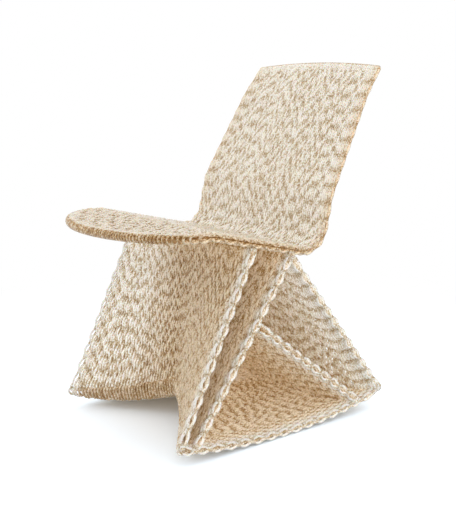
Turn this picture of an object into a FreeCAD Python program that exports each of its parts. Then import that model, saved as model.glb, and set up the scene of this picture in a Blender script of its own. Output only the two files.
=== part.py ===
"""Rocking chair laid up from wavy strands.

Every course of the chair is one upright side profile: two wavy strands that swing apart and
touch again, so that a chain of lens-shaped cells runs through the seat, the back and every
wall of the base. The courses stand side by side across the width. The two outermost courses
are modelled with their open cells, as the left and the right edge course of the person who
sits in the chair, and the courses between them as walls whose faces swell and narrow with the
strands.

The front of the chair faces -Y, the width runs along X, and +Z is up. The origin is on the
floor, in the middle of the space that the chair fills.
"""
import FreeCAD
import Part
import math
import os

V = FreeCAD.Vector

doc = FreeCAD.newDocument("strand_rocker")

# Driving dimensions in millimetres. Places are given in the side profile of the outermost
# course: depth is the Y coordinate and height the Z coordinate.
SIZES = [
    ("base_width", 472, "width over the edge courses, from the floor to the waist"),
    ("top_width", 424, "width over the edge courses at the top of the back"),
    ("course_width", 6.56, "width of one course, and so of one strand, along X"),
    ("cell_pitch", 38.5, "length of one lens cell along a wall"),
    ("strand", 4.5, "thickness of one strand in the side profile"),
    ("wall_bulge", 22, "thickness of a seat or base wall over its cells"),
    ("wall_pinch", 10, "thickness of its edge courses where their strands touch"),
    ("wall_groove", 16, "thickness in the grooves of the wall between the edge courses"),
    ("back_bulge", 15, "thickness of the back over its cells"),
    ("back_pinch", 9.5, "thickness of its edge courses where their strands touch"),
    ("back_groove", 12, "thickness in the grooves of the back between the edge courses"),
    ("seat_height", 480, "height of the level front of the seat, at mid thickness"),
    ("seat_curve_depth", -187.5, "depth at which the rounded front of the seat begins"),
    ("seat_nose_reach", 158.5, "reach of the rounded front, ahead of where it begins"),
    ("knee_run", 12.3, "run from there to the corner at which the seat starts to fall"),
    ("seat_run", 297.9, "run of the falling seat, from that corner to the lumbar corner"),
    ("seat_fall", 70.3, "fall of the seat over that run"),
    ("waist_run", 30.3, "run of the lumbar stretch, from its lower to its upper corner"),
    ("waist_rise", 135.3, "rise of the lumbar stretch"),
    ("curl_run", 119, "run of the back, from the waist to the corner of its curl"),
    ("curl_rise", 212, "rise of the back over that run"),
    ("crest_run", 47, "run of the curl, from that corner to the rim at its end"),
    ("crest_rise", 62.5, "rise of the curl over that run"),
    ("crest_arch", 12, "rise of the upper end from its corners to its middle"),
    ("hip_radius", 58, "rounding between seat and lumbar stretch, at mid thickness"),
    ("waist_radius", 120, "rounding at the waist"),
    ("curl_radius", 90, "rounding where the back curls"),
    ("rocker_radius", 1500, "radius of the rocker under the edge courses"),
    ("rocker_low_depth", 18.5, "depth of the rocker's lowest point"),
    ("front_wall_foot", -273, "front leg's outer face, where it stands on the front foot"),
    ("front_tip_reach", 9.5, "reach of the front foot's tip ahead of that face"),
    ("front_tip_height", 43, "height of that tip"),
    ("front_toe_setback", 15, "how far behind that tip the rocker's curve begins"),
    ("front_wall_head", -81, "front leg's outer face under the seat"),
    ("brace_wall_setback", 62.1, "on the floor, from there back to the inner wall's rear face"),
    ("brace_wall_head", 48, "front leg's inner wall, rear face under the seat"),
    ("rear_wall_foot", 341, "rear leg's outer face, where it stands on the rear foot"),
    ("rear_tip_reach", 5, "reach of the rear foot's tip behind that face"),
    ("rear_tip_height", 53, "height of that tip"),
    ("rear_toe_setback", 44, "how far ahead of that tip the rocker's curve ends"),
    ("tie_wall_setback", 75.6, "on the floor, from that face forward to the inner wall's upper face"),
    ("front_notch_depth", 150, "how far the front foot draws back in the middle"),
    ("front_notch_rise", 60, "how far the front foot rises in the middle"),
    ("front_upstand_edge", 4, "height of the front foot's upstand at the edge courses"),
    ("front_upstand_rise", 24, "further height of that upstand in the middle"),
    ("rear_notch_depth", 105, "how far the rear foot draws in in the middle"),
    ("rear_notch_rise", 27, "how far the rear foot rises in the middle"),
]

sheet = doc.addObject("Spreadsheet::Sheet", "sizes")
for row, (alias, value, note) in enumerate(SIZES, 1):
    sheet.set("A%d" % row, note)
    sheet.set("B%d" % row, str(value))
    sheet.setAlias("B%d" % row, alias)
doc.recompute()


def size(alias):
    """Value of one driving dimension, in millimetres."""
    return float(sheet.get(alias))


half_width = size("base_width") / 2
field_half = half_width - size("course_width")

# Shares of a cell's length between which it bulges, and between which it is open. The strands
# touch where one cell meets the next.
CELL_BULGE_SHARES = (1 / 3, 2 / 3)
CELL_HOLE_SHARES = (0.12, 0.88)

# Shares of the half width at which the base walls bend, and how sharply the notch closes.
BASE_STATION_SHARES = (-1, -0.64, -0.3, 0, 0.3, 0.64, 1)
CREST_STATION_SHARES = (-1, -0.5, 0, 0.5, 1)
NOTCH_DEPTH_POWER = 1.3
NOTCH_RISE_POWER = 2.0
UPSTAND_POWER = 2.5

# Share of the front leg's inner wall, from its foot, at which the rear leg's inner wall ends,
# and the share of the knee's run that its arc takes.
TIE_HEAD_SHARE = 0.635
KNEE_ARC_SHARE = 0.95

# Lands are stretches of a wall's side, as pairs of shares of its length, that stay full
# because another wall seats there. Both ends of a base wall are such lands. The margin is the
# share of a cell that stays clear of turns beside a land.
END_LAND_SHARES = [(0, 0), (1, 1)]
LAND_MARGIN_SHARE = 0.2

# Half-round rims: where their section turns, as shares of its height, and the number of
# straight runs by which the seat's rim follows the front.
RIM_TURN_SHARES = (1, 0.7, 0, -0.7, -1)
RIM_RUNS = 20

# Points closer than this are one and the same.
SAME_PLACE = 1e-6


# Side profile geometry

def lerp(start, end, share):
    """Point at a share of the way from start to end."""
    return start + (end - start) * share


def crossing(point, direction, other, other_direction):
    """Point where two lines of the side profile cross."""
    normal = V(0, -other_direction.z, other_direction.y)
    return point + direction * ((other - point).dot(normal) / direction.dot(normal))


def rounded_path(corners, radii):
    """Edges through the corners, each inner corner rounded by a tangent arc."""
    edges = []
    start = corners[0]
    for before, corner, after, radius in zip(corners, corners[1:], corners[2:], radii):
        back = (before - corner).normalize()
        ahead = (after - corner).normalize()
        half_angle = back.getAngle(ahead) / 2
        reach = radius / math.tan(half_angle)
        inward = (back + ahead).normalize()
        first = corner + back * reach
        middle = corner + inward * (radius / math.sin(half_angle) - radius)
        last = corner + ahead * reach
        edges.append(Part.LineSegment(start, first).toShape())
        edges.append(Part.Arc(first, middle, last).toShape())
        start = last
    edges.append(Part.LineSegment(start, corners[-1]).toShape())
    return edges


def place_along(edges, distance):
    """Point and upward normal at a distance along a run of edges."""
    for edge in edges[:-1]:
        if distance <= edge.Length:
            break
        distance -= edge.Length
    else:
        edge = edges[-1]
    parameter = edge.getParameterByLength(min(distance, edge.Length))
    tangent = edge.tangentAt(parameter)
    return edge.valueAt(parameter), V(0, -tangent.z, tangent.y)


def cells_in(length):
    """Whole number of cells that a wall of this length holds."""
    return max(1, round(length / size("cell_pitch")))


def inset(side, other, share, depth):
    """Point of one side of a wall, drawn in by depth towards the other side."""
    point = side(share)
    return point + (other(share) - point).normalize() * depth


def side_points(side, other, cells, draws, lands):
    """Outline of one side of a wall, from its start to its end.

    draws are the depths to which the side is drawn in between two cells, at its start and at
    its end.
    """
    start_draw, end_draw = draws
    places = [(cell / cells, lerp(start_draw, end_draw, cell / cells)) for cell in range(cells + 1)]
    for cell in range(cells):
        places += [((cell + share) / cells, 0) for share in CELL_BULGE_SHARES]
    margin = LAND_MARGIN_SHARE / cells
    for low, high in lands:
        places = [place for place in places if not low - margin < place[0] < high + margin]
        places += [(low, 0), (high, 0)]
    return [inset(side, other, share, drawn) for share, drawn in sorted(places)]


def distinct(points):
    """Points of a closed outline without repeats next to each other."""
    return [p for p, after in zip(points, points[1:] + points[:1]) if (p - after).Length > SAME_PLACE]


def wall_outline(wall, narrowing):
    """Closed outline of a wall.

    narrowing is "pinch" for an edge course and "groove" for the wall between the two.
    """
    draws = [(size(kind + "_bulge") - size(kind + "_" + narrowing)) / 2 for kind in wall["kinds"]]
    lower = side_points(wall["lower"], wall["upper"], wall["cells"], draws, wall["lower_lands"])
    upper = side_points(wall["upper"], wall["lower"], wall["cells"], draws, wall["upper_lands"])
    return distinct(lower + wall["end_points"] + upper[::-1] + wall["start_points"])


def cell_outlines(wall):
    """Outlines of the open lens cells of an edge course."""
    holes = []
    for cell in range(wall["cells"]):
        first, last = [(cell + share) / wall["cells"] for share in CELL_HOLE_SHARES]
        bulges = [(cell + share) / wall["cells"] for share in CELL_BULGE_SHARES]
        below = [inset(wall["lower"], wall["upper"], share, size("strand")) for share in bulges]
        above = [inset(wall["upper"], wall["lower"], share, size("strand")) for share in bulges]
        nose = lerp(wall["lower"](first), wall["upper"](first), 0.5)
        tail = lerp(wall["lower"](last), wall["upper"](last), 0.5)
        holes.append([nose] + below + [tail] + above[::-1])
    return holes


def make_wall(lower, upper, length, kinds=("wall", "wall"), lower_lands=(), upper_lands=(),
              start_points=(), end_points=()):
    """Description of a wall between two side curves, each a function of a share from 0 to 1.

    kinds say whose thicknesses its start and its end have: "wall" is the kind of seat and
    base, and "back" that of the back.
    """
    return {
        "lower": lower, "upper": upper, "cells": cells_in(length), "kinds": kinds,
        "lower_lands": list(lower_lands), "upper_lands": list(upper_lands),
        "start_points": list(start_points), "end_points": list(end_points),
    }


# Seat and back. One line at mid thickness runs from the seat's rounded front to the crest.

seat_start = V(0, size("seat_curve_depth"), size("seat_height"))
knee_corner = seat_start + V(0, size("knee_run"), 0)
hip_corner = knee_corner + V(0, size("seat_run"), -size("seat_fall"))
waist_corner = hip_corner + V(0, size("waist_run"), size("waist_rise"))
curl_corner = waist_corner + V(0, size("curl_run"), size("curl_rise"))
seat_slope = math.atan2(size("seat_fall"), size("seat_run"))


def body_line(arch):
    """Mid line of seat and back, its upper end raised by arch along the curl."""
    curl_step = V(0, size("crest_run"), size("crest_rise"))
    crest = curl_corner + curl_step + curl_step.normalize() * arch
    knee_radius = size("knee_run") * KNEE_ARC_SHARE / math.tan(seat_slope / 2)
    return rounded_path(
        [seat_start, knee_corner, hip_corner, waist_corner, curl_corner, crest],
        [knee_radius, size("hip_radius"), size("waist_radius"), size("curl_radius")])


SEAT_EDGES = slice(0, 3)
LUMBAR_EDGES = slice(3, 6)
BACK_EDGES = slice(6, 9)


def body_side(edges, kinds, direction):
    """One face of seat, lumbar stretch or back, whose thickness changes steadily along it."""
    length = sum(edge.Length for edge in edges)

    def side(share):
        point, normal = place_along(edges, share * length)
        thickness = lerp(size(kinds[0] + "_bulge"), size(kinds[1] + "_bulge"), share)
        return point + normal * (direction * thickness / 2)
    return side


def body_wall(edges, kinds, lower_lands=()):
    """Wall of the seat, the lumbar stretch or the back."""
    length = sum(edge.Length for edge in edges)
    return make_wall(body_side(edges, kinds, -1), body_side(edges, kinds, 1), length, kinds, lower_lands)


line = body_line(0)
waist_end, waist_normal = place_along(line[LUMBAR_EDGES], sum(e.Length for e in line[LUMBAR_EDGES]))
waist_tangent = V(0, waist_normal.z, -waist_normal.y)
crest_end = line[-1].valueAt(line[-1].LastParameter)
taper_share = (size("base_width") - size("top_width")) / 2 / (crest_end - waist_end).dot(waist_tangent)


def back_half_width(point):
    """Half width over the edge courses at a point of the back."""
    return half_width - taper_share * (point - waist_end).dot(waist_tangent)


# Underside of the seat, on which the front leg's two walls seat.
seat_fall = (hip_corner - knee_corner).normalize()
seat_down = V(0, seat_fall.z, -seat_fall.y)
under_seat = hip_corner + seat_down * (size("wall_bulge") / 2)


def seat_underside_at(depth):
    """Point of the sloping underside of the seat at a depth."""
    return crossing(under_seat, seat_fall, V(0, depth, 0), V(0, 0, 1))


# Rocker. The floor wall follows the rocker curve. Away from the edge courses both feet draw
# in and rise, so the base has a notch in the middle of its front and its rear.
front_tip_depth = size("front_wall_foot") - size("front_tip_reach")
front_toe_depth = front_tip_depth + size("front_toe_setback")
rear_tip_depth = size("rear_wall_foot") + size("rear_tip_reach")
rear_toe_depth = rear_tip_depth - size("rear_toe_setback")
brace_foot_depth = size("front_wall_foot") + size("brace_wall_setback")
tie_foot_depth = size("rear_wall_foot") - size("tie_wall_setback")


def rocker_height(depth):
    """Height of the rocker curve at a depth."""
    radius = size("rocker_radius")
    return radius - math.sqrt(radius ** 2 - (depth - size("rocker_low_depth")) ** 2)


def notched(depth, above, share):
    """Point above the rocker curve, carried along by the notches.

    share is the share of the half width at which the point lies.
    """
    toe_to_toe = rear_toe_depth - front_toe_depth
    rearward = (depth - front_toe_depth) / toe_to_toe
    draw = 1 - abs(share) ** NOTCH_DEPTH_POWER
    lift = (1 - abs(share)) ** NOTCH_RISE_POWER
    moved = depth + draw * (size("front_notch_depth") * (1 - rearward)
                            - size("rear_notch_depth") * rearward)
    rise = lift * (size("front_notch_rise") * (1 - rearward) + size("rear_notch_rise") * rearward)
    return V(0, moved, rocker_height(moved) + rise + above)


def on_floor(depth, share):
    """Point of the rocker floor's upper face."""
    return notched(depth, size("wall_bulge"), share)


def upstand(share):
    """Height of the front foot's upstand above the rocker floor."""
    return size("front_upstand_edge") + size("front_upstand_rise") * (1 - abs(share) ** UPSTAND_POWER)


def on_upstand(depth, share):
    """Point of the upper end of the front foot's upstand."""
    return on_floor(depth, share) + V(0, 0, upstand(share))


def straight(start, end):
    """Straight side of a wall."""
    return lambda share: lerp(start, end, share)


# Feet of the four base walls on the rocker floor, in the side profile of the edge courses.
# A wall's second face is one wall thickness from the first.

def floor_landing(point, direction, above=0):
    """Depth at which a line of the edge profile comes down to above the rocker floor."""
    depth = point.y
    for _ in range(8):
        height = rocker_height(depth) + size("wall_bulge") + above
        depth = point.y + direction.y / direction.z * (height - point.z)
    return depth


def second_face(foot, head, towards):
    """Foot of the wall's other face, and the direction of the wall."""
    direction = (head - foot).normalize()
    normal = V(0, direction.z, -direction.y) * towards
    return foot + normal * size("wall_bulge"), direction


front_foot = on_upstand(size("front_wall_foot"), 1)
front_head = seat_underside_at(size("front_wall_head"))
front_inside, front_direction = second_face(front_foot, front_head, 1)
front_inner_foot_depth = floor_landing(front_inside, front_direction, upstand(1))
front_inner_head = crossing(front_inside, front_direction, under_seat, seat_fall)

brace_foot = on_floor(brace_foot_depth, 1)
brace_head = seat_underside_at(size("brace_wall_head"))
brace_inside, brace_direction = second_face(brace_foot, brace_head, -1)
brace_front_foot_depth = floor_landing(brace_inside, brace_direction)
brace_front_head = crossing(brace_inside, brace_direction, under_seat, seat_fall)

# The rear leg's walls seat on the rear face of the brace wall: their heads are shares of it.
rear_foot = on_floor(size("rear_wall_foot"), 1)
rear_inside, rear_direction = second_face(rear_foot, brace_head, -1)
rear_inner_foot_depth = floor_landing(rear_inside, rear_direction)
rear_inner_head = crossing(rear_inside, rear_direction, brace_foot, brace_direction)
rear_inner_head_share = (rear_inner_head - brace_foot).Length / (brace_head - brace_foot).Length

tie_foot = on_floor(tie_foot_depth, 1)
tie_head = lerp(brace_foot, brace_head, TIE_HEAD_SHARE)
tie_below, tie_direction = second_face(tie_foot, tie_head, -1)
tie_lower_foot_depth = floor_landing(tie_below, tie_direction)
tie_lower_head = crossing(tie_below, tie_direction, brace_foot, brace_direction)
tie_lower_head_share = (tie_lower_head - brace_foot).Length / (brace_head - brace_foot).Length


# Base walls at a share of the half width: 1 and -1 are the edge courses.

def front_wall(share):
    """Front leg's outer wall, from the front foot's upstand to the seat."""
    outer = straight(on_upstand(size("front_wall_foot"), share), front_head)
    inner = straight(on_upstand(front_inner_foot_depth, share), front_inner_head)
    return make_wall(inner, outer, (front_head - front_foot).Length,
                     lower_lands=END_LAND_SHARES, upper_lands=END_LAND_SHARES)


def brace_wall(share):
    """Front leg's inner wall, which also carries both walls of the rear leg."""
    rear = straight(on_floor(brace_foot_depth, share), brace_head)
    front = straight(on_floor(brace_front_foot_depth, share), brace_front_head)
    lands = [(tie_lower_head_share, TIE_HEAD_SHARE), (rear_inner_head_share, 1)]
    return make_wall(rear, front, (brace_head - brace_foot).Length,
                     lower_lands=END_LAND_SHARES[:1] + lands, upper_lands=END_LAND_SHARES)


def on_brace(head_share, share):
    """Point of the brace wall's rear face at a share of its height."""
    return lerp(on_floor(brace_foot_depth, share), brace_head, head_share)


def rear_wall(share):
    """Rear leg's outer wall, from its foot to the head of the brace wall."""
    outer = straight(on_floor(size("rear_wall_foot"), share), brace_head)
    inner = straight(on_floor(rear_inner_foot_depth, share), on_brace(rear_inner_head_share, share))
    return make_wall(inner, outer, (brace_head - rear_foot).Length,
                     lower_lands=END_LAND_SHARES, upper_lands=END_LAND_SHARES)


def tie_wall(share):
    """Rear leg's inner wall, from the rear foot to the middle of the brace wall."""
    upper = straight(on_floor(tie_foot_depth, share), on_brace(TIE_HEAD_SHARE, share))
    lower = straight(on_floor(tie_lower_foot_depth, share), on_brace(tie_lower_head_share, share))
    return make_wall(lower, upper, (tie_head - tie_foot).Length,
                     lower_lands=END_LAND_SHARES, upper_lands=END_LAND_SHARES)


def floor_wall(share):
    """Rocker floor from the front tip to the rear tip, with a land under each base wall.

    The front foot turns up into an upstand, on which the front leg's outer wall stands.
    """
    front, rear = front_inner_foot_depth, rear_inner_foot_depth

    def face(end, above):
        return lambda t: notched(front + (end - front) * t, above, share)

    def land(low, high):
        return tuple((depth - front) / (rear - front) for depth in (low, high))
    front_rise = (size("front_tip_height") - rocker_height(front_tip_depth)
                  + upstand(share) - upstand(1))
    rear_rise = size("rear_tip_height") - rocker_height(rear_tip_depth)
    return make_wall(face(rear_toe_depth, 0), face(rear, size("wall_bulge")), rear - front,
                     upper_lands=[land(front, front),
                                  land(brace_front_foot_depth, brace_foot_depth),
                                  land(tie_lower_foot_depth, tie_foot_depth),
                                  land(rear, rear)],
                     start_points=[on_upstand(front_inner_foot_depth, share),
                                   on_upstand(size("front_wall_foot"), share),
                                   notched(front_tip_depth, front_rise, share),
                                   notched(front_toe_depth, 0, share)],
                     end_points=[notched(rear_tip_depth, rear_rise, share),
                                 on_floor(size("rear_wall_foot"), share)])


# Building the pieces

pieces = []


def keep(feature, label):
    """Name a finished piece and list it for export."""
    feature.Label = label
    pieces.append(feature)
    return feature


def closed_wire(points):
    """Closed wire of straight edges through points."""
    return Part.makePolygon(points + points[:1])


def ruled_solid(sections):
    """Solid between matching outlines, one after the other across the width.

    Four points that lie in one plane make one face. Others make two, split from the front
    point of the outer section, so that two pieces split a face that they share alike.
    """
    faces = [Part.Face(closed_wire(sections[0])), Part.Face(closed_wire(sections[-1]))]
    for near, far in zip(sections, sections[1:]):
        for a, b, c, d in zip(near, near[1:] + near[:1], far, far[1:] + far[:1]):
            twist = (b - a).cross(d - a).dot(c - a)
            if abs(twist) < SAME_PLACE:
                loops = [(a, b, d, c)]
            elif (a.y < b.y) == (abs(a.x) > abs(c.x)):
                loops = [(a, b, d), (a, d, c)]
            else:
                loops = [(a, b, c), (b, d, c)]
            faces += [Part.Face(closed_wire(list(loop))) for loop in loops]
    shell = Part.makeShell(faces)
    shell.sewShape()
    return Part.makeSolid(shell)


def padded_body(label, loops, length, start):
    """Body with one sketch of closed loops in the side profile, padded along X.

    length and start are expressions of the sheet: the pad's length, and the X at which the
    pad begins.
    """
    body = doc.addObject("PartDesign::Body", label)
    sketch = body.newObject("Sketcher::SketchObject", label + "_profile")
    plane = [f for f in body.Origin.OriginFeatures if f.Role == "YZ_Plane"][0]
    sketch.AttachmentSupport = (plane, [""])
    sketch.MapMode = "FlatFace"
    for loop in loops:
        flat = [V(p.y, p.z, 0) for p in loop]
        sketch.addGeometry([Part.LineSegment(a, b) for a, b in zip(flat, flat[1:] + flat[:1])], False)
    pad = body.newObject("PartDesign::Pad", label + "_pad")
    pad.Profile = sketch
    pad.setExpression("Length", length)
    body.setExpression("Placement.Base.x", start)
    sketch.Visibility = False
    return keep(body, label)


def edge_courses(name, wall):
    """Left and right edge course of a wall, with open cells."""
    loops = [wall_outline(wall, "pinch")] + cell_outlines(wall)
    padded_body("left_%s_course" % name, loops, "sizes.course_width",
                "sizes.base_width / 2 - sizes.course_width")
    padded_body("right_%s_course" % name, loops, "sizes.course_width", "-sizes.base_width / 2")


def field(label, stations):
    """Wall between the edge courses, straight from station to station.

    stations are pairs of a list of points and a function that gives each point's X.
    """
    sections = []
    for points, across in stations:
        sections.append([V(across(p), p.y, p.z) for p in points])
    feature = doc.addObject("Part::Feature", label)
    feature.Shape = ruled_solid(sections)
    feature.Placement = FreeCAD.Placement()
    return keep(feature, label)


def base_field(label, wall):
    """Base wall between the edge courses, bent at each station by the notches."""
    stations = []
    for share in BASE_STATION_SHARES:
        stations.append((wall_outline(wall(share), "groove"), lambda p, s=share: s * field_half))
    return field(label, stations)


# Seat: rear deck with its edge courses
seat_length = sum(edge.Length for edge in line[SEAT_EDGES])


def seat_share(point):
    """Share of the seat's length at which a point of its underside lies."""
    knee_end = line[2].valueAt(line[2].FirstParameter)
    before = sum(edge.Length for edge in line[0:2])
    return (before + (point - knee_end).dot(seat_fall)) / seat_length


seat_lands = [(seat_share(front_head), seat_share(front_inner_head)),
              (seat_share(brace_front_head), min(1, seat_share(brace_head)))]
seat = body_wall(line[SEAT_EDGES], ("wall", "wall"), seat_lands)
padded_body("seat_deck", [wall_outline(seat, "groove")], "sizes.base_width - 2 * sizes.course_width",
            "-(sizes.base_width / 2 - sizes.course_width)")
edge_courses("seat", seat)

# Seat: rounded front, cut from a level panel by the outline inside the rim
rim_radius = size("wall_bulge") / 2
nose_reach = size("seat_nose_reach") - rim_radius
nose_half = half_width - rim_radius
nose_start = seat_start - V(0, size("seat_nose_reach"), 0)
nose_edge = [Part.LineSegment(nose_start, seat_start).toShape()]
nose_wall = body_wall(nose_edge, ("wall", "wall"))
nose_profile = doc.addObject("Part::Feature", "seat_front_profile")
nose_profile.Shape = Part.Face(closed_wire(wall_outline(nose_wall, "groove")))
nose_panel = doc.addObject("Part::Extrusion", "seat_front_panel")
nose_panel.Base = nose_profile
nose_panel.DirMode = "Custom"
nose_panel.Dir = V(1, 0, 0)
nose_panel.setExpression("LengthFwd", "sizes.base_width / 2")
nose_panel.setExpression("LengthRev", "sizes.base_width / 2")
nose_panel.Solid = True

nose_curve = []
for run in range(RIM_RUNS + 1):
    angle = math.pi * run / RIM_RUNS
    place = V(nose_half * math.cos(angle), seat_start.y - nose_reach * math.sin(angle), seat_start.z)
    facing = V(math.cos(angle) / nose_half, -math.sin(angle) / nose_reach, 0).normalize()
    nose_curve.append((place, facing))
nose_plan = doc.addObject("Part::Feature", "seat_front_plan")
nose_plan.Shape = Part.Face(closed_wire([place for place, facing in nose_curve]))
nose_block = doc.addObject("Part::Extrusion", "seat_front_block")
nose_block.Base = nose_plan
nose_block.DirMode = "Custom"
nose_block.Dir = V(0, 0, 1)
nose_block.setExpression("LengthFwd", "sizes.wall_bulge")
nose_block.setExpression("LengthRev", "sizes.wall_bulge")
nose_block.Solid = True
seat_front = doc.addObject("Part::Common", "seat_front")
seat_front.Base = nose_panel
seat_front.Tool = nose_block
keep(seat_front, "seat_front")


def half_round(place, up, outward, radius):
    """Section of a half-round rim about a place, from its upper to its lower edge."""
    return [place + up * (turn * radius) + outward * (math.sqrt(1 - turn ** 2) * radius)
            for turn in RIM_TURN_SHARES]


# Seat: the end loops of the courses form a half-round rim along the front
seat_rim = doc.addObject("Part::Feature", "seat_rim")
seat_rim.Shape = ruled_solid([half_round(place, V(0, 0, 1), facing, rim_radius)
                              for place, facing in nose_curve])
seat_rim.Placement = FreeCAD.Placement()
keep(seat_rim, "seat_rim")

# Lumbar stretch between seat and back
lumbar = body_wall(line[LUMBAR_EDGES], ("wall", "back"))
padded_body("lumbar_bend", [wall_outline(lumbar, "groove")],
            "sizes.base_width - 2 * sizes.course_width",
            "-(sizes.base_width / 2 - sizes.course_width)")
edge_courses("lumbar", lumbar)

# Back: narrows upwards, and its upper end is arched
back_stations = []
for share in CREST_STATION_SHARES:
    arched = body_line(size("crest_arch") * (1 - share ** 2))
    wall = body_wall(arched[BACK_EDGES], ("back", "back"))
    back_stations.append((wall_outline(wall, "groove"),
                          lambda p, s=share: s * (back_half_width(p) - size("course_width"))))
field("back_panel", back_stations)

back = body_wall(line[BACK_EDGES], ("back", "back"))
for label, side in (("left_back_course", 1), ("right_back_course", -1)):
    wires = []
    for loop in [wall_outline(back, "pinch")] + cell_outlines(back):
        wires.append(closed_wire([V(side * back_half_width(p), p.y, p.z) for p in loop]))
    profile = doc.addObject("Part::Feature", label + "_profile")
    profile.Shape = Part.makeFace(wires, "Part::FaceMakerBullseye")
    course = doc.addObject("Part::Extrusion", label)
    course.Base = profile
    course.DirMode = "Custom"
    course.Dir = V(-side, 0, 0)
    course.setExpression("LengthFwd", "sizes.course_width")
    course.Solid = True
    keep(course, label)

# Back: the end loops of the courses form a half-round rim along the crest
crest_stations = []
for share in CREST_STATION_SHARES:
    arched = body_line(size("crest_arch") * (1 - share ** 2))
    end, normal = place_along(arched[BACK_EDGES], sum(e.Length for e in arched[BACK_EDGES]))
    section = half_round(end, normal, V(0, normal.z, -normal.y), size("back_bulge") / 2)
    crest_stations.append((section, lambda p, s=share, e=end: s * back_half_width(e)))
field("crest_rim", crest_stations)

# Base walls and their edge courses
base_field("front_leg_outer_wall", front_wall)
base_field("front_leg_inner_wall", brace_wall)
base_field("rear_leg_outer_wall", rear_wall)
base_field("rear_leg_inner_wall", tie_wall)
base_field("rocker_floor", floor_wall)
edge_courses("front_leg_outer", front_wall(1))
edge_courses("front_leg_inner", brace_wall(1))
edge_courses("rear_leg_outer", rear_wall(1))
edge_courses("rear_leg_inner", tie_wall(1))
edge_courses("rocker", floor_wall(1))

doc.recompute()

# Every object has to be sound before anything is written.
for item in doc.Objects:
    if "Invalid" in item.State or "Error" in item.State:
        raise RuntimeError("failed object: " + item.Label)
os.makedirs("parts", exist_ok=True)
for piece in pieces:
    shape = piece.Shape
    if shape.isNull() or not shape.isValid() or not shape.Solids:
        raise RuntimeError("unsound piece: " + piece.Label)
    shape.exportStep("parts/%s.step" % piece.Label)
print("pieces written:", len(pieces))
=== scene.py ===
from collections import namedtuple

import bpy
import numpy as np
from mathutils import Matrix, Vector


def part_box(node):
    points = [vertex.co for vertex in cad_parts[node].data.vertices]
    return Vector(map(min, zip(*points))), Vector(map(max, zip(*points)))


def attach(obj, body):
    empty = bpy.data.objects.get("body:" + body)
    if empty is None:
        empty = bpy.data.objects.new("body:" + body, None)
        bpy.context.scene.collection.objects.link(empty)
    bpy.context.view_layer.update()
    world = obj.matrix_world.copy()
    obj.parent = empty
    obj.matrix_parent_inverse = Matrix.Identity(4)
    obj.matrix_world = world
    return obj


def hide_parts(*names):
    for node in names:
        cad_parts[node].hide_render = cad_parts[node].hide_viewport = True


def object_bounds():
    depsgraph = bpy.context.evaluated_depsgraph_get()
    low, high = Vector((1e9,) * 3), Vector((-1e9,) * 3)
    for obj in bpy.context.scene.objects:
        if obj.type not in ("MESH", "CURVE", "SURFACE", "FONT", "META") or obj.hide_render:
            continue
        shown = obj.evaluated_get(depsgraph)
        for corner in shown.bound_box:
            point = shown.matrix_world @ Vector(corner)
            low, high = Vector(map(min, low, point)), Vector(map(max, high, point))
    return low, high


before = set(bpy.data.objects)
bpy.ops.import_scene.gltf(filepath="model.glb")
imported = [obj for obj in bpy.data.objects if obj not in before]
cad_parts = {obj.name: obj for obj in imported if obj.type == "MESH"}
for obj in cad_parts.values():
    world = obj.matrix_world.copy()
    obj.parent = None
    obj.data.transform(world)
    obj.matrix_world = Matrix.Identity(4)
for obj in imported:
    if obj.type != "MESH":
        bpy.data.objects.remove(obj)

cad_low, cad_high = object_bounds()

# Seat, lumbar bend and back.
# The chair is laid up from one clear, glossy, honey-coloured plastic strand, in upright courses
# side by side. Each wall of a course is two strands that swing apart and touch again, cell
# after cell. These courses run from the seat's rounded front up the back, with a loop at each end.
COURSES = 72
CELL_PITCH = 0.0385

# Each course's place over the half width, from -1 at the right side to 1 at the left. A strand
# is a little wider than the courses' spacing, so it overlaps its neighbours.
ACROSS = (2 * np.arange(COURSES) + 1) / COURSES - 1
HALF_WIDTH = cad_high[0]
SPREAD = 1.15
STRAND = 0.0054
STRAND_WIDTH = SPREAD * 2 * HALF_WIDTH / COURSES
CENTRES = ACROSS * HALF_WIDTH * (1 - (SPREAD - 1) / (COURSES - 1))

# How the courses of a wall drift against each other, and how the cells in one wobble.
Order = namedtuple("Order", "seed side_jumps middle_jumps weave")
SMALL_STEP_SHARE = 0.10
JUMP_SHARES = (0.15, 0.5)
WOVEN_COURSES = 6
WOBBLE_SHARE, WOBBLE_CELLS = 0.22, 7


def drifted(cells, order, woven=1.0):
    """Cells counted along each course, moved along by how far that course has drifted.

    From one course to the next the drift changes by a small step, and at times by a jump of
    up to half a cell. order holds the seed and the chances of a jump at the sides and in the
    middle. The drift is nothing at the two edge courses. Each of the WOVEN_COURSES next to
    them is moved on by the order's weave more than its outer neighbour, less whole cells, in
    proportion to woven. A slow wave along each course, with a start of its own, is added,
    most in the middle.
    """
    chance = np.random.default_rng(order.seed)
    middle = 1 - ACROSS ** 2
    jump_chance = order.side_jumps + (order.middle_jumps - order.side_jumps) * middle
    jumps = chance.random(COURSES) < jump_chance
    steps = chance.uniform(-SMALL_STEP_SHARE, SMALL_STEP_SHARE, COURSES)
    steps += jumps * chance.uniform(*JUMP_SHARES, COURSES) * chance.choice([-1, 1], COURSES)
    drift = np.cumsum(steps)
    drift -= np.linspace(drift[0], drift[-1], COURSES)
    from_side = np.minimum(np.arange(COURSES), np.arange(COURSES)[::-1])
    turns = ((order.weave * from_side + 0.5) % 1 - 0.5) * (from_side <= WOVEN_COURSES)
    start = chance.random(COURSES)
    wave = np.sin(2 * np.pi * (cells / WOBBLE_CELLS + start[:, None]))
    return (cells + drift[:, None] + turns[:, None] * woven
            + WOBBLE_SHARE * middle[:, None] * wave)


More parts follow.
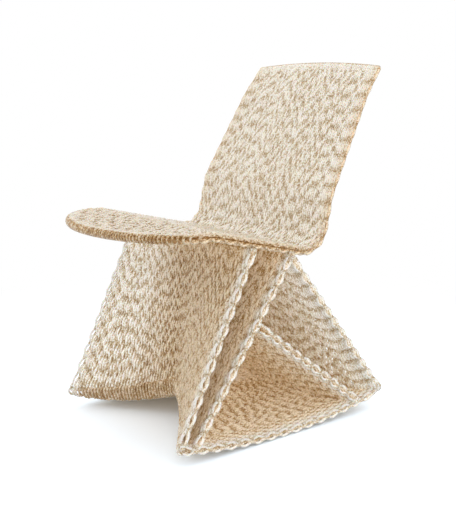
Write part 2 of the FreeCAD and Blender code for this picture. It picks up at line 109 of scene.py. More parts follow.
def swing(cells):
    """Share of its full swing that a strand stands off the wall's middle.

    It is half of one minus the cosine of a full turn for each cell, so it is nothing where
    a cell begins and one in the cell's middle.
    """
    return 0.5 - 0.5 * np.cos(2 * np.pi * cells)


def opened(share, distance):
    """Swing that grows to its full size over the last half cell before an end.

    The rest of the full swing is added in proportion to the square root of how near the end
    is, as a share of half a cell.
    """
    near_end = np.clip(1 - distance / (CELL_PITCH / 2), 0, 1)
    return share + (1 - share) * np.sqrt(near_end)


FILLED_SHARE, FILLED_POWER = 0.30, 6


def stand_off(share, thickness):
    """Distance of a strand's middle from the wall's middle.

    At a share of one it is half of the wall's thickness less half a strand. At none it is
    about half a strand in the edge courses, where the two strands touch, and more in the
    courses between, which are held apart by their neighbours.
    """
    filled = FILLED_SHARE * (1 - np.abs(ACROSS) ** FILLED_POWER)[:, None]
    swung = filled + (1 - filled) * share
    return STRAND / 2 + (thickness / 2 - STRAND) * swung


# The loops' swing, drawn at random and kept low, only sets their colour: the loops at the walls'
# ends are painted darker, as painted shade.
LOOP_STEPS, LOOP_SEED, LOOP_SHARE = 5, 5, 0.35


def loop_around(end, before, normal, off):
    """Half circle of strand about the end of a wall, from its normal side to the other.

    It is the normal times the cosine of half a turn's angles plus the direction beyond the
    end times their sine, at the distance off. before is the wall's place next to the end.
    Returns the path, the outward directions and a swing drawn at random for each place.
    """
    beyond = np.stack([normal[:, 1], -normal[:, 0]], axis=-1)
    beyond *= np.sign(((end - before) * beyond).sum(axis=1))[:, None]
    turn = np.linspace(0, np.pi, LOOP_STEPS + 2)[1:-1]
    out = (np.cos(turn)[None, :, None] * normal[:, None, :]
           + np.sin(turn)[None, :, None] * beyond[:, None, :])
    shares = np.random.default_rng(LOOP_SEED).uniform(0, LOOP_SHARE, (COURSES, LOOP_STEPS))
    return end[:, None, :] + out * off[:, None, None], out, shares


def hairpin(middle, normal, off, share):
    """Path up one side of a wall, around its end and down the other side.

    middle and normal are (courses, samples, 2) in depth and height, off and share are
    (courses, samples). Returns the path, the outward directions, which point away from the
    wall's middle, and the swing along it.
    """
    loop, loop_out, loop_share = loop_around(middle[:, -1], middle[:, -2], normal[:, -1],
                                             off[:, -1])
    aside = normal * off[..., None]
    return (np.concatenate([middle + aside, loop, (middle - aside)[:, ::-1]], axis=1),
            np.concatenate([normal, loop_out, -normal[:, ::-1]], axis=1),
            np.concatenate([share, loop_share, share[:, ::-1]], axis=1))


SIDES = 8
END_CAP = np.array([[0, 1, 2, 3], [0, 3, 4, 7], [4, 5, 6, 7]])


def tube_faces(count, samples, closed):
    """Four-cornered faces of count tubes, each a closed ring or open with a cap at each end.

    A face joins two points next to each other on a tube's section to the same two at the
    next place along the tube.
    """
    index = np.arange(count * samples * SIDES).reshape(count, samples, SIDES)
    turned = np.roll(index, -1, axis=2)
    if closed:
        ahead, ahead_turned = np.roll(index, -1, axis=1), np.roll(turned, -1, axis=1)
        return np.stack([index, turned, ahead_turned, ahead], axis=-1).reshape(-1, 4)
    walls = np.stack([index[:, :-1], turned[:, :-1], turned[:, 1:], index[:, 1:]], axis=-1)
    starts = index[:, 0][:, END_CAP[:, ::-1]].reshape(-1, 4)
    ends = index[:, -1][:, END_CAP].reshape(-1, 4)
    return np.concatenate([walls.reshape(-1, 4), starts, ends])


def strand_mesh(name, points, faces, **layers):
    """Smooth object of these points and faces, with a point attribute for each layer."""
    mesh = bpy.data.meshes.new(name)
    mesh.vertices.add(points.size // 3)
    mesh.vertices.foreach_set("co", points.ravel())
    mesh.loops.add(faces.size)
    mesh.loops.foreach_set("vertex_index", faces.astype(np.int32).ravel())
    mesh.polygons.add(len(faces))
    mesh.polygons.foreach_set("loop_start", np.arange(0, faces.size, 4, dtype=np.int32))
    mesh.update(calc_edges=True)
    for attribute, values in layers.items():
        layer = mesh.attributes.new(attribute, "FLOAT", "POINT")
        layer.data.foreach_set("value", np.clip(values, 0, 1).ravel().astype(np.float32))
    mesh.shade_smooth()
    piece = bpy.data.objects.new(name, mesh)
    bpy.context.collection.objects.link(piece)
    return piece


# Lift, warmth and glow of the strand, which paint light and shade. The courses at the sides catch
# more light than the rest, so they are painted lighter, as painted light.
SWING_LIFT, OUTWARD_LIFT, REST_LIFT = 0.51, 0.22, 0.195
INWARD_LIMIT, TONE_SHARE = -0.2, 0.10
EDGE_START, EDGE_LIFT, EDGE_GLOW = 0.88, 0.30, 0.05
INNER_GLOW, EDGE_INNER_GLOW = 0.3, 0.1
EDGE_SHARE = np.clip((np.abs(ACROSS) - EDGE_START) / (1 - EDGE_START), 0, 1)


def strands(name, path, out, shares, warmth, glow, closed=False, width_share=1.0,
            edge_warmth=0.0):
    """Object of one tube per course, carried along the courses' paths.

    A tube's section is an ellipse: half its width each way along X, and half a strand each
    way in the side profile, at right angles to the path. path and out are (courses, samples,
    2), shares are the swing along it, closed says whether a path runs back into its start,
    and width_share is the share of the chair's full width. The point attribute lift says how
    far a place stands out of the wall: it grows with the square root of the swing and towards
    the outward side, and each course has a tone of its own, drawn with the number of samples
    as the seed. The colour follows the lift as painted light and shade: lighter on the crests,
    the outward side and the edge courses, darker in the dips and on the inward side. warmth
    says how much honey the colour holds, as painted shade: the strand is painted honey where it
    lies in shade and pale where it is lit, and edge_warmth takes its place in the edge courses.
    glow is painted light, an emission that stands in for the light that comes through, and the
    tube's inward side has more of it.
    """
    count, samples = path.shape[:2]
    if closed:
        tangent = np.roll(path, -1, axis=1) - np.roll(path, 1, axis=1)
    else:
        tangent = np.gradient(path, axis=1)
    tangent = tangent / np.linalg.norm(tangent, axis=2, keepdims=True)
    upright = np.stack([-tangent[..., 1], tangent[..., 0]], axis=-1)
    angle = np.arange(SIDES) * 2 * np.pi / SIDES
    across = np.broadcast_to(CENTRES[:, None] * width_share, (count, samples))
    width = np.broadcast_to(STRAND_WIDTH * width_share, (count, samples))
    points = np.empty((count, samples, SIDES, 3), dtype=np.float32)
    points[..., 0] = across[..., None] + np.cos(angle) * width[..., None] / 2
    points[..., 1:] = (path[:, :, None, :]
                       + (np.sin(angle)[:, None] * upright[:, :, None, :]) * STRAND / 2)

    edge = EDGE_SHARE[:, None]
    tone = np.random.default_rng(samples).uniform(-TONE_SHARE, TONE_SHARE, count)
    outward = (upright * out).sum(axis=2)[..., None] * np.sin(angle)
    # Painted light and shade: lighter on the crests, on the outward side and in the edge courses,
    # darker in the dips and on the inward side.
    lift = (SWING_LIFT * np.sqrt(shares)[..., None] + REST_LIFT
            + OUTWARD_LIFT * np.maximum(outward, INWARD_LIMIT) * (1 - edge)[..., None]
            + (tone + EDGE_LIFT * EDGE_SHARE)[:, None, None])
    warmth = np.broadcast_to((warmth + (edge_warmth - warmth) * edge)[..., None], lift.shape)
    # Painted light: the glow, an emission, is stronger on the tube's inward side.
    inner = (INNER_GLOW + EDGE_INNER_GLOW * edge)[..., None] * np.clip(-outward, 0, 1)
    glow = (glow + (EDGE_GLOW - glow) * edge)[..., None] + inner
    return strand_mesh(name, points, tube_faces(count, samples, closed),
                       lift=lift, warmth=warmth, glow=glow)


# The strand is painted ivory where it swings out into the light, as painted light on the
# crests, and amber to brown where it dips between its neighbours, as painted shade in the dips.
# The pale colours are the strand where it is lit and the honey ones the strand in shade: lit and
# shaded copies of its colour.
PALE_COLOURS = ((0.28, 0.155, 0.06, 1), (0.55, 0.45, 0.29, 1), (0.88, 0.87, 0.83, 1))
HONEY_COLOURS = ((0.25, 0.115, 0.030, 1), (0.45, 0.265, 0.088, 1), (0.82, 0.68, 0.48, 1))
COLOUR_STOP_SHARES = (0.10, 0.50, 0.90)
BLACK = (0, 0, 0, 1)
# The noise mottle is partly the strand's random tone and partly painted glints and streaks of
# highlight along the strand.
MOTTLE_SCALE, MOTTLE_DETAIL, TONE_AND_GLINT_SHARE, MOTTLE_NARROWING = 240, 1, 1.8, 1.8
RIPPLE_STRENGTH, RIPPLE_DEPTH = 0.35, 0.0012
GLOSSY_SKIN = {
    "Roughness": 0.25, "IOR": 1.5, "Coat Weight": 0.5, "Coat Roughness": 0.08,
    "Subsurface Weight": 0.3, "Subsurface Radius": (1.0, 0.6, 0.3), "Subsurface Scale": 0.003,
    "Emission Strength": 1,
}


def feed(tree, socket, value):
    """The socket is fed by another node's output, or set to a fixed value."""
    if isinstance(value, bpy.types.NodeSocket):
        tree.links.new(value, socket)
    else:
        socket.default_value = value


def worked_out(tree, operation, *values):
    """Output of a Math node for those values."""
    node = tree.nodes.new("ShaderNodeMath")
    node.operation = operation
    for socket, value in zip(node.inputs, values):
        feed(tree, socket, value)
    return node.outputs["Value"]


def mixed_colour(tree, share, first, second):
    """Colour that goes from the first to the second one as the share goes from none to one."""
    node = tree.nodes.new("ShaderNodeMix")
    node.data_type = "RGBA"
    for socket, value in (("Factor", share), ("A", first), ("B", second)):
        feed(tree, node.inputs[socket], value)
    return node.outputs["Result"]


def strand_attribute(tree, name):
    """Value of one of the strand's point attributes."""
    node = tree.nodes.new("ShaderNodeAttribute")
    node.attribute_name = name
    return node.outputs["Fac"]


def colour_by_lift(tree, lift, colours):
    """Colour that goes from the dips over the flanks to the crests: painted shade in the dips and
    painted light on the crests.
    """
    ramp = tree.nodes.new("ShaderNodeValToRGB")
    stops = ramp.color_ramp.elements
    stops.new(COLOUR_STOP_SHARES[1])
    for stop, place, colour in zip(stops, COLOUR_STOP_SHARES, colours):
        stop.position = place
        stop.color = colour
    feed(tree, ramp.inputs["Fac"], lift)
    return ramp.outputs["Color"]


def strand_material():
    """Colour by the lift and the warmth of the strand, painted light and shade, mottled by noise
    that is partly painted glints, under a glossy skin.

    The light that comes through is painted light: an emission in the strand's own colour. The noise
    also ripples the skin.
    """
    material = bpy.data.materials.new("honey_strand")
    material.use_nodes = True
    tree = material.node_tree
    shader = tree.nodes["Principled BSDF"]
    place = tree.nodes.new("ShaderNodeTexCoord")
    narrowed = tree.nodes.new("ShaderNodeMapping")
    feed(tree, narrowed.inputs["Vector"], place.outputs["Object"])
    feed(tree, narrowed.inputs["Scale"], (MOTTLE_NARROWING, 1, 1))
    noise = tree.nodes.new("ShaderNodeTexNoise")
    feed(tree, noise.inputs["Vector"], narrowed.outputs["Vector"])
    feed(tree, noise.inputs["Scale"], MOTTLE_SCALE)
    feed(tree, noise.inputs["Detail"], MOTTLE_DETAIL)
    tone_and_glint_mottle = worked_out(tree, "MULTIPLY_ADD", noise.outputs["Fac"], TONE_AND_GLINT_SHARE,
                        -TONE_AND_GLINT_SHARE / 2)
    lift = worked_out(tree, "ADD", strand_attribute(tree, "lift"), tone_and_glint_mottle)
    colour = mixed_colour(tree, strand_attribute(tree, "warmth"),
                          colour_by_lift(tree, lift, PALE_COLOURS),
                          colour_by_lift(tree, lift, HONEY_COLOURS))
    feed(tree, shader.inputs["Base Color"], colour)
    # Painted light: the glow makes the strand emit its own colour.
    feed(tree, shader.inputs["Emission Color"],
         mixed_colour(tree, strand_attribute(tree, "glow"), BLACK, colour))
    ripple = tree.nodes.new("ShaderNodeBump")
    feed(tree, ripple.inputs["Strength"], RIPPLE_STRENGTH)
    feed(tree, ripple.inputs["Distance"], RIPPLE_DEPTH)
    feed(tree, ripple.inputs["Height"], noise.outputs["Fac"])
    feed(tree, shader.inputs["Normal"], ripple.outputs["Normal"])
    for socket, value in GLOSSY_SKIN.items():
        feed(tree, shader.inputs[socket], value)
    return material


strand_skin = strand_material()


def finish(piece, *nodes):
    """The piece gets the strand's material and stands for those CAD nodes."""
    piece.data.materials.append(strand_skin)
    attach(piece, "root")
    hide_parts(*nodes)


# The body's middle line in the side profile, from the seat's front to the crest: its runs, each
# by how far it goes back and up, and the radii of the bends between them.
WALL, BACK_WALL = 0.022, 0.015
SEAT_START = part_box("seat_front")[1][1]
SEAT_MIDDLE = (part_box("seat_front")[0][2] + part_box("seat_front")[1][2]) / 2
BODY_RUNS = ((0.0123, 0), (0.2979, -0.0703), (0.0303, 0.1353), (0.119, 0.212), (0.047, 0.0625))
KNEE_RADIUS, HIP_RADIUS, WAIST_RADIUS, CURL_RADIUS = 0.1003, 0.058, 0.120, 0.090
ARC_STEPS = 24


def unit(vector):
    """The vector at a length of one."""
    return vector / np.linalg.norm(vector)


def rounded_line(corners, radii):
    """Line through the corners, with an arc that touches both runs at each inner one.

    The arc's centre is on the line that halves the corner, at the radius over the sine of
    the half angle. Returns the line's points, the lengths along it, and the lengths at which
    each arc starts and ends.
    """
    runs = [corners[0][None]]
    for before, corner, after, radius in zip(corners, corners[1:], corners[2:], radii):
        back, ahead = unit(before - corner), unit(after - corner)
        half = np.arccos(back @ ahead) / 2
        centre = corner + unit(back + ahead) * radius / np.sin(half)
        start = corner + back * radius / np.tan(half) - centre
        end = corner + ahead * radius / np.tan(half) - centre
        turn = np.pi - 2 * half
        share = np.linspace(0, 1, ARC_STEPS)[:, None]
        runs.append(centre + (np.sin((1 - share) * turn) * start + np.sin(share * turn) * end)
                    / np.sin(turn))
    runs.append(corners[-1][None])
    points = np.concatenate(runs)
    lengths = np.concatenate([[0], np.cumsum(np.linalg.norm(np.diff(points, axis=0), axis=1))])
    marks = [lengths[1 + ARC_STEPS * arc + end] for arc in range(len(radii))
             for end in (0, ARC_STEPS - 1)]
    return points, lengths, marks


body_corners = np.array([SEAT_START, SEAT_MIDDLE]) + np.cumsum(((0, 0),) + BODY_RUNS, axis=0)
body_points, body_lengths, body_marks = rounded_line(
    body_corners, [KNEE_RADIUS, HIP_RADIUS, WAIST_RADIUS, CURL_RADIUS])
SEAT_END, LUMBAR_END, BACK_END = body_marks[2], body_marks[5], body_lengths[-1]


def along_body(length):
    """Place on the middle line at a length along it, straight on beyond both of its ends."""
    first = unit(body_points[1] - body_points[0])
    last = unit(body_points[-1] - body_points[-2])
    inside = np.clip(length, 0, BACK_END)
    place = np.stack([np.interp(inside, body_lengths, values) for values in body_points.T], axis=-1)
    return (place + np.minimum(length, 0)[..., None] * first
            + np.maximum(length - BACK_END, 0)[..., None] * last)


# The courses of the body, with the rounded front of the seat and the arched, narrower crest.
CREST_ARCH = 0.012
CREST_WIDTH_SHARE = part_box("crest_rim")[1][0] / HALF_WIDTH
NOSE_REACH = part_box("seat_rim")[1][1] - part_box("seat_rim")[0][1]
BODY_STOPS = np.array([0, SEAT_END, LUMBAR_END, BACK_END])
BODY_CELLS = np.cumsum([0] + [round(run / CELL_PITCH) for run in np.diff(BODY_STOPS)])
BODY_ORDER = Order(seed=3, side_jumps=0.15, middle_jumps=0.9, weave=0.37)
SEAT_SAMPLES, BACK_SAMPLES = 72, 78
# Painted light and shade by face: the seat's underside and the rims' loops are painted honey and
# the back's upper face pale, the seat's underside and the back's upper face get a painted glow, and
# the edge courses are painted amber as painted shade on the side edges.
SEAT_WARMTH, BACK_WARMTH = (1.0, 1.0, 0.5), (0.25, 1.0, 0.5)
SEAT_GLOW, BACK_GLOW = (0.08, 0, 0), (0.09, 0, 0)
SEAT_EDGE_WARMTH, BACK_EDGE_WARMTH = 0.9, 0.7
TANGENT_STEP = 0.001
OVERLAP = 0.002


def body_courses(name, start, end, samples, side, warmth, glow, edge_warmth):
    """Courses of a stretch of the body, from an open start to the loops at its end.

    start and end are lengths along the middle line, end for each course, and side is 1 where
    the way out is on the upper face and -1 where it is on the lower one. The cells are
    counted over seat, lumbar bend and back, so that whole cells fill each of them. The wall
    thins evenly along the lumbar bend, and the back narrows evenly up to the crest. warmth
    and glow hold the values of the way out, the loops and the way home.
    """
    length = start + (end - start)[:, None] * np.linspace(0, 1, samples)
    middle = along_body(length)
    tangent = along_body(length + TANGENT_STEP) - along_body(length - TANGENT_STEP)
    tangent = tangent / np.linalg.norm(tangent, axis=2, keepdims=True)
    normal = np.stack([-tangent[..., 1], tangent[..., 0]], axis=-1) * side
    beyond = np.minimum(length, 0) + np.maximum(length - BACK_END, 0)
    cells = np.interp(length, BODY_STOPS, BODY_CELLS) + beyond / CELL_PITCH
    lumbar = np.clip((length - SEAT_END) / (LUMBAR_END - SEAT_END), 0, 1)
    thickness = WALL + (BACK_WALL - WALL) * lumbar
    share = swing(drifted(cells, BODY_ORDER, 1 - lumbar))
    share = opened(share, np.abs(end[:, None] - length))
    path, out, shares = hairpin(middle, normal, stand_off(share, thickness), share)
    up_the_back = np.clip((length - LUMBAR_END) / (BACK_END - LUMBAR_END), 0, None)
    narrowing = (1 - CREST_WIDTH_SHARE) * up_the_back
    narrowing = np.concatenate([narrowing, np.repeat(narrowing[:, -1:], LOOP_STEPS, axis=1),
                                narrowing[:, ::-1]], axis=1)
    stretches = (samples, LOOP_STEPS, samples)
    return strands(name, path, out, shares, np.repeat(warmth, stretches)[None],
                   np.repeat(glow, stretches)[None], width_share=1 - narrowing,
                   edge_warmth=edge_warmth)


nose_ends = -NOSE_REACH * np.sqrt(1 - ACROSS ** 2) + WALL / 2
crest_ends = BACK_END + CREST_ARCH * (1 - ACROSS ** 2)
seat = body_courses("seat_courses", SEAT_END + OVERLAP, nose_ends, SEAT_SAMPLES, -1,
                    SEAT_WARMTH, SEAT_GLOW, SEAT_EDGE_WARMTH)
finish(seat, "seat_front", "seat_rim", "seat_deck", "left_seat_course", "right_seat_course")
back = body_courses("back_courses", SEAT_END - OVERLAP, crest_ends, BACK_SAMPLES, 1,
                    BACK_WARMTH, BACK_GLOW, BACK_EDGE_WARMTH)
finish(back, "lumbar_bend", "left_lumbar_course", "right_lumbar_course",
       "back_panel", "left_back_course", "right_back_course", "crest_rim")

# Rocker floor.
# The floor of the base is a curved wall of the same strand, on which the chair rocks. Away
# from its side edges both feet draw in and rise, so the front and the rear of the base have
# a notch. The front foot turns up, and the front leg stands on it.
ROCKER_RADIUS, ROCKER_LOW = 1.500, 0.0185
FRONT_TIP, REAR_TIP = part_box("rocker_floor")[0][1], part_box("rocker_floor")[1][1]
FLOOR_MIDDLE = (FRONT_TIP + REAR_TIP) / 2
FRONT_TIP_HEIGHT, REAR_TIP_HEIGHT = 0.043, 0.053
FRONT_TOE_SETBACK, REAR_TOE_SETBACK = 0.015, 0.044
FRONT_FOOT_SETBACK, REAR_FOOT_SETBACK = 0.0095, 0.005
FRONT_FOOT_DEPTH, REAR_FOOT_DEPTH = 0.025, 0.0245
FRONT_TOE, REAR_TOE = FRONT_TIP + FRONT_TOE_SETBACK, REAR_TIP - REAR_TOE_SETBACK
FRONT_FOOT, REAR_FOOT = FRONT_TIP + FRONT_FOOT_SETBACK, REAR_TIP - REAR_FOOT_SETBACK
FRONT_INNER_FOOT, REAR_INNER_FOOT = FRONT_FOOT + FRONT_FOOT_DEPTH, REAR_FOOT - REAR_FOOT_DEPTH
UPSTAND_EDGE, UPSTAND_RISE, UPSTAND_POWER = 0.004, 0.024, 2.5
FRONT_NOTCH_DEPTH, FRONT_NOTCH_RISE = 0.150, 0.060
REAR_NOTCH_DEPTH, REAR_NOTCH_RISE = 0.105, 0.027
NOTCH_DEPTH_POWER, NOTCH_RISE_POWER = 1.3, 2.0
CORNER_CUT, CORNER_CUTS = 0.25, 2
ROCKER_SAMPLES = 48
ROCKER_ORDER = Order(seed=8, side_jumps=0.18, middle_jumps=0.22, weave=0.37)
FOOT_DRAW, FOOT_SWING = 0.12, 0.8
# Painted light and shade: the floor is painted honey, paler towards its side edges, and glows more
# on its top face than on its underside and feet.
FLOOR_WARMTH, FLOOR_COOLING = 0.9, 0.3
FLOOR_GLOW, FOOT_GLOW = 0.25, 0.08


def curve_height(depth):
    """Height of the rocker's curve: a circle that touches the ground at its lowest point."""
    return ROCKER_RADIUS - np.sqrt(ROCKER_RADIUS ** 2 - (depth - ROCKER_LOW) ** 2)


def notched(depth, above, share):
    """Place above the rocker's curve, carried along by the notches.

    depth is measured at the edge courses, and share is the share of the half width. The
    notch moves a place inwards by one minus the share to a power, and lifts it by the rest
    of the share to a power, both in proportion to how near it is to that foot.
    """
    rearward = (depth - FRONT_TOE) / (REAR_TOE - FRONT_TOE)
    draw = 1 - np.abs(share) ** NOTCH_DEPTH_POWER
    lift = (1 - np.abs(share)) ** NOTCH_RISE_POWER
    moved = depth + draw * (FRONT_NOTCH_DEPTH * (1 - rearward) - REAR_NOTCH_DEPTH * rearward)
    rise = lift * (FRONT_NOTCH_RISE * (1 - rearward) + REAR_NOTCH_RISE * rearward)
    return np.stack(np.broadcast_arrays(moved, curve_height(moved) + rise + above), axis=-1)


def softened(points):
    """Points of open paths, with every corner cut off at a quarter of its sides, twice over."""
    for _ in range(CORNER_CUTS):
        near = points[:, :-1] * (1 - CORNER_CUT) + points[:, 1:] * CORNER_CUT
        far = points[:, :-1] * CORNER_CUT + points[:, 1:] * (1 - CORNER_CUT)
        cut = np.stack([near, far], axis=2).reshape(len(points), -1, 2)
        points = np.concatenate([points[:, :1], cut[:, 1:-1], points[:, -1:]], axis=1)
    return points


def rocker_half(name, toe, inner_foot, foot_places):
    """Courses of half of the rocker floor: along its underside, around a foot and back on top.

    foot_places are pairs of a depth and of the heights above the curve for each course. Each
    course's foot is drawn in by a random share of its size.
    """
    start = FLOOR_MIDDLE - OVERLAP * np.sign(toe - FLOOR_MIDDLE)
    sides = []
    for end, side in ((toe, -1), (inner_foot, 1)):
        depth = start + (end - start) * np.linspace(0, 1, ROCKER_SAMPLES)
        cells = np.broadcast_to((depth - FRONT_TOE) / CELL_PITCH, (COURSES, ROCKER_SAMPLES))
        moved = swing(drifted(cells, ROCKER_ORDER))
        above = WALL / 2 + side * stand_off(moved, WALL)
        sides.append((notched(depth, above, ACROSS[:, None]), moved))
    (lower, lower_share), (upper, upper_share) = sides
    foot = np.stack([notched(depth, height, ACROSS) for depth, height in foot_places], axis=1)
    foot = softened(np.concatenate([lower[:, -1:], foot, upper[:, -1:]], axis=1))[:, 1:-1]
    chance = np.random.default_rng(ROCKER_ORDER.seed)
    drawn_in = chance.uniform(0, FOOT_DRAW, COURSES)[:, None, None]
    middle = (lower[:, -1:] + upper[:, -1:]) / 2
    foot = foot + (middle - foot) * drawn_in
    foot_share = chance.uniform(0, FOOT_SWING, foot.shape[:2])
    path = np.concatenate([lower, foot, upper[:, ::-1]], axis=1)
    shares = np.concatenate([lower_share, foot_share, upper_share[:, ::-1]], axis=1)
    out = np.zeros(path.shape)
    out[:, :ROCKER_SAMPLES, 1], out[:, -ROCKER_SAMPLES:, 1] = -1, 1
    around = foot - middle
    out[:, ROCKER_SAMPLES:-ROCKER_SAMPLES] = around / np.linalg.norm(around, axis=2, keepdims=True)
    on_top = np.arange(path.shape[1]) >= path.shape[1] - ROCKER_SAMPLES
    warmth = FLOOR_WARMTH * (1 - FLOOR_COOLING * np.abs(ACROSS))[:, None]
    return strands(name, path, out, shares, warmth, np.where(on_top, FLOOR_GLOW, FOOT_GLOW)[None])


HALF_STRAND = STRAND / 2
upstand = UPSTAND_EDGE + UPSTAND_RISE * (1 - np.abs(ACROSS) ** UPSTAND_POWER)
rocker_front = rocker_half("rocker_front_courses", FRONT_TOE, FRONT_INNER_FOOT, (
    (FRONT_TOE, HALF_STRAND),
    (FRONT_TIP + HALF_STRAND, FRONT_TIP_HEIGHT - curve_height(FRONT_TIP) + upstand - UPSTAND_EDGE),
    (FRONT_FOOT + HALF_STRAND, WALL - HALF_STRAND + upstand),
    (FRONT_INNER_FOOT - HALF_STRAND, WALL - HALF_STRAND + upstand)))
finish(rocker_front, "rocker_floor", "left_rocker_course")
rocker_rear = rocker_half("rocker_rear_courses", REAR_TOE, REAR_INNER_FOOT, (
    (REAR_TIP - HALF_STRAND, REAR_TIP_HEIGHT - curve_height(REAR_TIP)),
    (REAR_FOOT - HALF_STRAND, WALL - HALF_STRAND)))
finish(rocker_rear, "right_rocker_course")

# Legs.
# Four walls of the same strand. The front leg's two lean back from the front foot to the seat's
# underside, the rear leg's outer wall leans forward against their head, and its inner wall
# against the middle of the front leg. Seen from the side they stand open between the walls.
FRONT_HEAD, BRACE_HEAD, TIE_HEAD_SHARE = -0.081, 0.048, 0.635
BRACE_SETBACK, TIE_SETBACK = 0.0621, 0.0756
BRACE_FOOT, TIE_FOOT = FRONT_FOOT + BRACE_SETBACK, REAR_FOOT - TIE_SETBACK
SAMPLES_PER_CELL = 6
FOOT_SINK, HEAD_INSET = WALL / 4, WALL / 2 - STRAND
# Painted light and shade on the legs: the front outer wall is painted pale with a painted glow
# towards the chair's right side and honey elsewhere, and the walls glow more near the seat's
# underside.
FRONT_WARM_FROM, FRONT_WARM_REACH, FRONT_GLOW = -0.55, 0.5, 0.23
SEAT_LIGHT, SEAT_LIGHT_FROM, SEAT_LIGHT_REACH = 0.18, 0.37, 0.07
knee, hip = body_corners[1], body_corners[2]
fall = unit(hip - knee)
under_seat = hip + np.array([fall[1], -fall[0]]) * WALL / 2


def seat_underside(depth):
    """Place on the sloping underside of the seat at a depth."""
    return under_seat + fall * (depth - under_seat[0]) / fall[0]


def cooler_sides(warmth, loss):
    """Warmth of each course, which falls by the loss from the middle to the sides, so the sides are
    painted paler, as painted light.
    """
    return warmth - loss * np.abs(ACROSS)


def ring(middle, normal, off, share):
    """Closed path around a wall, with a half circle at its head and at its foot."""
    halves = zip(hairpin(middle, normal, off, share),
                 loop_around(middle[:, 0], middle[:, 1], -normal[:, 0], off[:, 0]))
    return [np.concatenate(pair, axis=1) for pair in halves]


def leg_wall(leg, layer, foot_depth, foot_height, head, side, order, warmth, glow):
    """Courses of a leg's wall between the rocker floor and its head.

    foot_depth and head are the wall's face, in the profile of the edge courses, foot_height
    is the height of its foot over the rocker's curve, and side is 1 where the wall lies
    behind that face and -1 where it lies ahead of it. The wall glows more near the seat's
    underside: painted light that brightens the seat's shade there.
    """
    face_foot = notched(foot_depth, foot_height, ACROSS)
    edge_foot = notched(foot_depth, np.broadcast_to(foot_height, COURSES)[0], 1.0)
    direction = unit(head - edge_foot)
    foot = face_foot + np.array([side * WALL / 2 / direction[1], 0])
    run = head + np.array([direction[1], -direction[0]]) * side * WALL / 2 - foot
    length = np.linalg.norm(run, axis=1)[:, None]
    ahead = run / length
    foot, run = foot - ahead * FOOT_SINK, run + ahead * (FOOT_SINK - HEAD_INSET)
    cells = round(np.linalg.norm(head - edge_foot) / CELL_PITCH)
    samples = cells * SAMPLES_PER_CELL + 1
    along = np.broadcast_to(np.linspace(0, 1, samples), (COURSES, samples))
    share = swing(drifted(cells * along, order))
    off = stand_off(opened(share, np.minimum(along, 1 - along) * length), WALL)
    middle = foot[:, None] + run[:, None] * along[..., None]
    normal = np.stack([-ahead[:, 1], ahead[:, 0]], axis=-1)[:, None]
    path, out, shares = ring(middle, np.broadcast_to(normal, middle.shape), off, share)
    # Painted light: more glow near the seat's underside.
    under_light = np.clip((path[..., 1] - SEAT_LIGHT_FROM) / SEAT_LIGHT_REACH, 0, 1)
    wall = strands(f"{leg}_{layer}_courses", path, out, shares, warmth[:, None],
                   glow + SEAT_LIGHT * under_light, closed=True)
    finish(wall, f"{leg}_leg_{layer}_wall", f"left_{leg}_leg_{layer}_course",
           f"right_{leg}_leg_{layer}_course")


brace_head = seat_underside(BRACE_HEAD)
brace_foot = notched(BRACE_FOOT, WALL, 1.0)
tie_head = brace_foot + (brace_head - brace_foot) * TIE_HEAD_SHARE
# The front outer wall is painted pale and glowing towards the chair's right side and honey
# elsewhere: painted light and shade.
front_warmth = np.clip((ACROSS - FRONT_WARM_FROM) / FRONT_WARM_REACH, 0, 1)
leg_wall("front", "outer", FRONT_FOOT, WALL + upstand, seat_underside(FRONT_HEAD), 1,
         Order(seed=11, side_jumps=0.1, middle_jumps=0.9, weave=0.37),
         warmth=front_warmth, glow=FRONT_GLOW * (1 - front_warmth)[:, None])
# The other walls glow, as painted light in the shade inside the base, and are painted paler towards
# their sides.
leg_wall("front", "inner", BRACE_FOOT, WALL, brace_head, -1,
         Order(seed=12, side_jumps=0.5, middle_jumps=0.9, weave=0.37),
         warmth=cooler_sides(1, loss=0.15), glow=0.23)
leg_wall("rear", "outer", REAR_FOOT, WALL, brace_head, -1,
         Order(seed=13, side_jumps=0.08, middle_jumps=0.5, weave=0.03),
         warmth=cooler_sides(0.35, loss=0.3), glow=0.22)
leg_wall("rear", "inner", TIE_FOOT, WALL, tie_head, -1,
         Order(seed=14, side_jumps=0.5, middle_jumps=0.9, weave=0.37),
         warmth=cooler_sides(1, loss=0.3), glow=0.17)

# Floor, light and camera.
# A white studio: a floor that takes a soft shadow near the chair and is plain white further
# out, two soft lamps, and a camera off the chair's front left corner, as high as its back.
FLOOR_SIZE = 30
SHADE_REACH = (0.55, 1.5)
FLOOR_COLOUR, SEEN_FLOOR_COLOUR = (0.72, 0.73, 0.76, 1), (1.27, 1.38, 1.50, 1)


def seen_rays(tree):
    """One for rays from the camera, also by way of gloss or glass, and nothing for others."""
    path = tree.nodes.new("ShaderNodeLightPath")
    gloss_or_glass = worked_out(tree, "MAXIMUM", path.outputs["Is Glossy Ray"],
                                path.outputs["Is Transmission Ray"])
    return worked_out(tree, "MAXIMUM", path.outputs["Is Camera Ray"], gloss_or_glass)


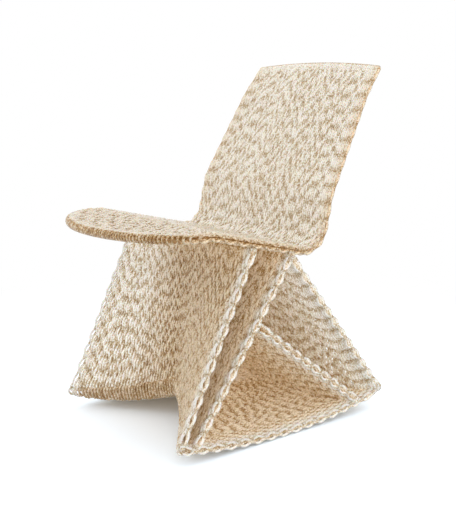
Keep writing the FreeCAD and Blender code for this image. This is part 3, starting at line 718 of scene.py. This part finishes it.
def floor_material():
    """Pale and matt near the chair, and plain white for the camera further out."""
    material = bpy.data.materials.new("studio_floor")
    material.use_nodes = True
    tree = material.node_tree
    shader = tree.nodes["Principled BSDF"]
    seen = seen_rays(tree)
    feed(tree, shader.inputs["Roughness"], 1)
    feed(tree, shader.inputs["Specular IOR Level"], 0)
    feed(tree, shader.inputs["Base Color"],
         mixed_colour(tree, seen, FLOOR_COLOUR, SEEN_FLOOR_COLOUR))
    place = tree.nodes.new("ShaderNodeTexCoord")
    reach = tree.nodes.new("ShaderNodeVectorMath")
    reach.operation = "LENGTH"
    feed(tree, reach.inputs[0], place.outputs["Object"])
    far = tree.nodes.new("ShaderNodeMapRange")
    far.interpolation_type = "SMOOTHSTEP"
    for socket, value in zip(("From Min", "From Max"), SHADE_REACH):
        feed(tree, far.inputs[socket], value)
    feed(tree, far.inputs["Value"], reach.outputs["Value"])
    white = tree.nodes.new("ShaderNodeEmission")
    blend = tree.nodes.new("ShaderNodeMixShader")
    feed(tree, blend.inputs["Fac"], worked_out(tree, "MULTIPLY", far.outputs["Result"], seen))
    feed(tree, blend.inputs[1], shader.outputs["BSDF"])
    feed(tree, blend.inputs[2], white.outputs["Emission"])
    feed(tree, tree.nodes["Material Output"].inputs["Surface"], blend.outputs["Shader"])
    return material


bpy.ops.mesh.primitive_plane_add(size=FLOOR_SIZE)
floor = bpy.context.object
floor.name = "studio_floor"
floor.data.materials.append(floor_material())

world = bpy.data.worlds.new("studio_light")
bpy.context.scene.world = world
world.use_nodes = True
background = world.node_tree.nodes["Background"]
background.inputs["Color"].default_value = (1, 1, 1, 1)
background.inputs["Strength"].default_value = 1

CHAIR_MIDDLE = Vector((0, 0, 0.4))


def lamp(name, place, size, power):
    """Square soft lamp at a place, facing the middle of the chair."""
    data = bpy.data.lights.new(name, "AREA")
    data.size, data.energy = size, power
    light = bpy.data.objects.new(name, data)
    light.location = place
    light.rotation_euler = (CHAIR_MIDDLE - Vector(place)).to_track_quat("-Z", "Y").to_euler()
    bpy.context.collection.objects.link(light)


lamp("overhead_softbox", place=(0.3, -0.3, 3.0), size=1.2, power=3)
lamp("front_softbox", place=(-1.6, -2.8, 1.4), size=0.4, power=5)

VIEW_AZIMUTH, VIEW_PITCH = np.radians(52.1), np.radians(11.1)
CAMERA_PLACE = (1.6725, -1.2606, 0.795)
FOCAL_PIXELS, SENSOR, LONG_SIDE = 900, 36, 512
camera_data = bpy.data.cameras.new("camera")
camera_data.sensor_width = SENSOR
camera_data.lens = FOCAL_PIXELS * SENSOR / LONG_SIDE
camera = bpy.data.objects.new("camera", camera_data)
camera.location = CAMERA_PLACE
facing = Vector((-np.sin(VIEW_AZIMUTH) * np.cos(VIEW_PITCH),
                 np.cos(VIEW_AZIMUTH) * np.cos(VIEW_PITCH), -np.sin(VIEW_PITCH)))
camera.rotation_euler = facing.to_track_quat("-Z", "Y").to_euler()
bpy.context.collection.objects.link(camera)
bpy.context.scene.camera = camera
bpy.context.scene.view_settings.view_transform = "Standard"
